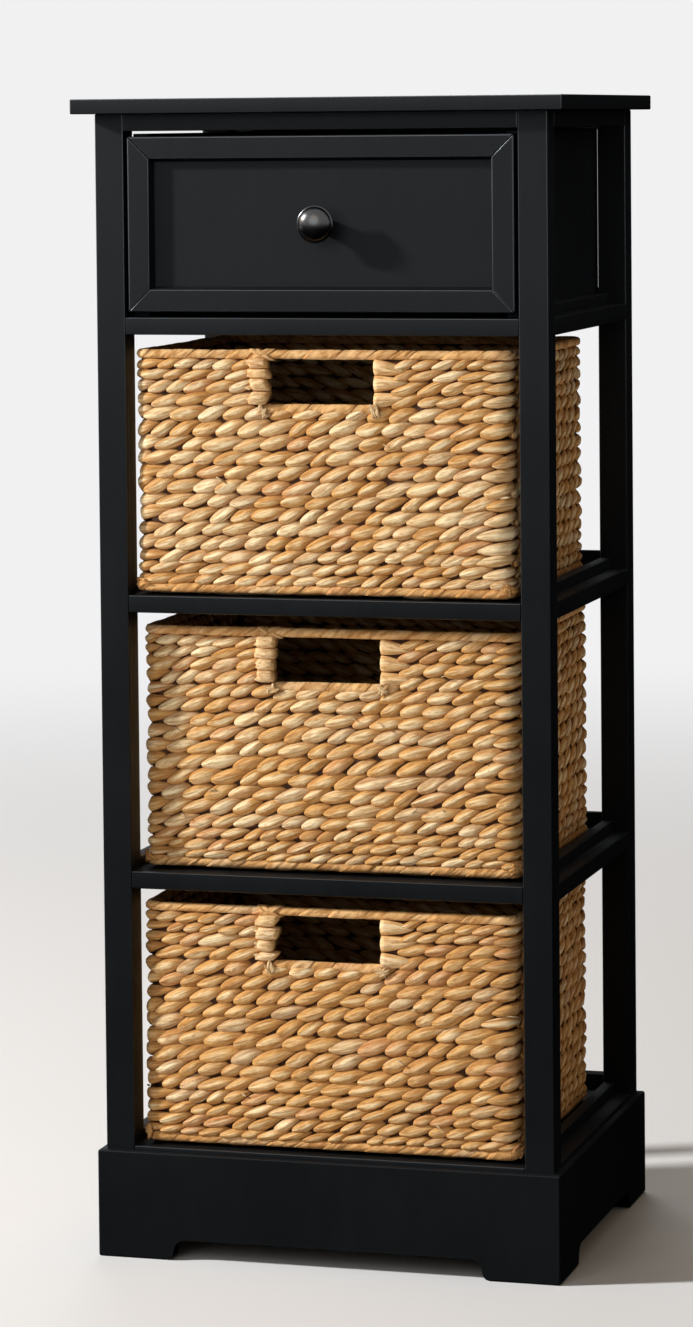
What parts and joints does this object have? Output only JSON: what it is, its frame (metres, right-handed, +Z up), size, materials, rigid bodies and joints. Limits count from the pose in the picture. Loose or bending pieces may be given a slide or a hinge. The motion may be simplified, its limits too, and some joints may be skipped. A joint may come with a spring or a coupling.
{
  "type": "storage tower",
  "caption": "Open-frame storage tower with a drawer above shelves that hold handled woven baskets, on a skirt with bracket feet.",
  "frame": {"origin": "on the floor, under the middle of the overall width and depth", "axes": "+X to the right, +Y to the back, +Z up; the drawer and the baskets face -Y"},
  "size_m": [0.405, 0.331, 0.94],
  "materials": {
    "black_paint": "black satin paint",
    "knob_metal": "dark bronze, semi-gloss",
    "steel": "zinc plated",
    "beech": "bare, sealed inside",
    "woven_straw": "twisted water hyacinth leaves",
    "wrapped_cord": "leaf-wrapped cord"
  },
  "bodies": {
    "tower": {"top_panel": "black_paint", "front_left_post": "black_paint", "front_right_post": "black_paint", "back_left_post": "black_paint", "back_right_post": "black_paint", "top_front_rail": "black_paint", "top_back_rail": "black_paint", "top_left_rail": "black_paint", "top_right_rail": "black_paint", "drawer_shelf_panel": "black_paint", "drawer_shelf_front_rail": "black_paint", "drawer_shelf_back_rail": "black_paint", "drawer_shelf_left_rail": "black_paint", "drawer_shelf_right_rail": "black_paint", "drawer_shelf_guides": "black_paint", "upper_shelf_panel": "black_paint", "upper_shelf_front_rail": "black_paint", "upper_shelf_back_rail": "black_paint", "upper_shelf_left_rail": "black_paint", "upper_shelf_right_rail": "black_paint", "upper_shelf_guides": "black_paint", "middle_shelf_panel": "black_paint", "middle_shelf_front_rail": "black_paint", "middle_shelf_back_rail": "black_paint", "middle_shelf_left_rail": "black_paint", "middle_shelf_right_rail": "black_paint", "middle_shelf_guides": "black_paint", "lower_shelf_panel": "black_paint", "lower_shelf_front_rail": "black_paint", "lower_shelf_back_rail": "black_paint", "lower_shelf_left_rail": "black_paint", "lower_shelf_right_rail": "black_paint", "lower_shelf_guides": "black_paint", "front_skirt": "black_paint", "back_skirt": "black_paint", "left_skirt": "black_paint", "right_skirt": "black_paint", "rail_dowels": "beech", "top_screws": "steel"},
    "drawer": {"drawer_panel": "black_paint", "drawer_frame_top": "black_paint", "drawer_frame_bottom": "black_paint", "drawer_frame_left": "black_paint", "drawer_frame_right": "black_paint", "drawer_left_side": "black_paint", "drawer_right_side": "black_paint", "drawer_back": "black_paint", "drawer_bottom": "black_paint", "drawer_dowels": "beech", "knob": "knob_metal", "knob_screw": "steel"},
    "upper_basket": {"upper_basket_weave": "woven_straw", "upper_basket_rim": "wrapped_cord", "upper_basket_base_rim": "wrapped_cord"},
    "middle_basket": {"middle_basket_weave": "woven_straw", "middle_basket_rim": "wrapped_cord", "middle_basket_base_rim": "wrapped_cord"},
    "lower_basket": {"lower_basket_weave": "woven_straw", "lower_basket_rim": "wrapped_cord", "lower_basket_base_rim": "wrapped_cord"}
  },
  "joints": [
    {"name": "drawer_slide", "type": "slide", "parent": "tower", "child": "drawer", "axis": [0, -1, 0], "range_m": [0, 0.2]},
    {"name": "upper_basket_slide", "type": "slide", "parent": "tower", "child": "upper_basket", "axis": [0, -1, 0], "range_m": [-0.048, 0.22]},
    {"name": "middle_basket_slide", "type": "slide", "parent": "tower", "child": "middle_basket", "axis": [0, -1, 0], "range_m": [-0.035, 0.22]},
    {"name": "lower_basket_slide", "type": "slide", "parent": "tower", "child": "lower_basket", "axis": [0, -1, 0], "range_m": [-0.037, 0.22]}
  ]
}
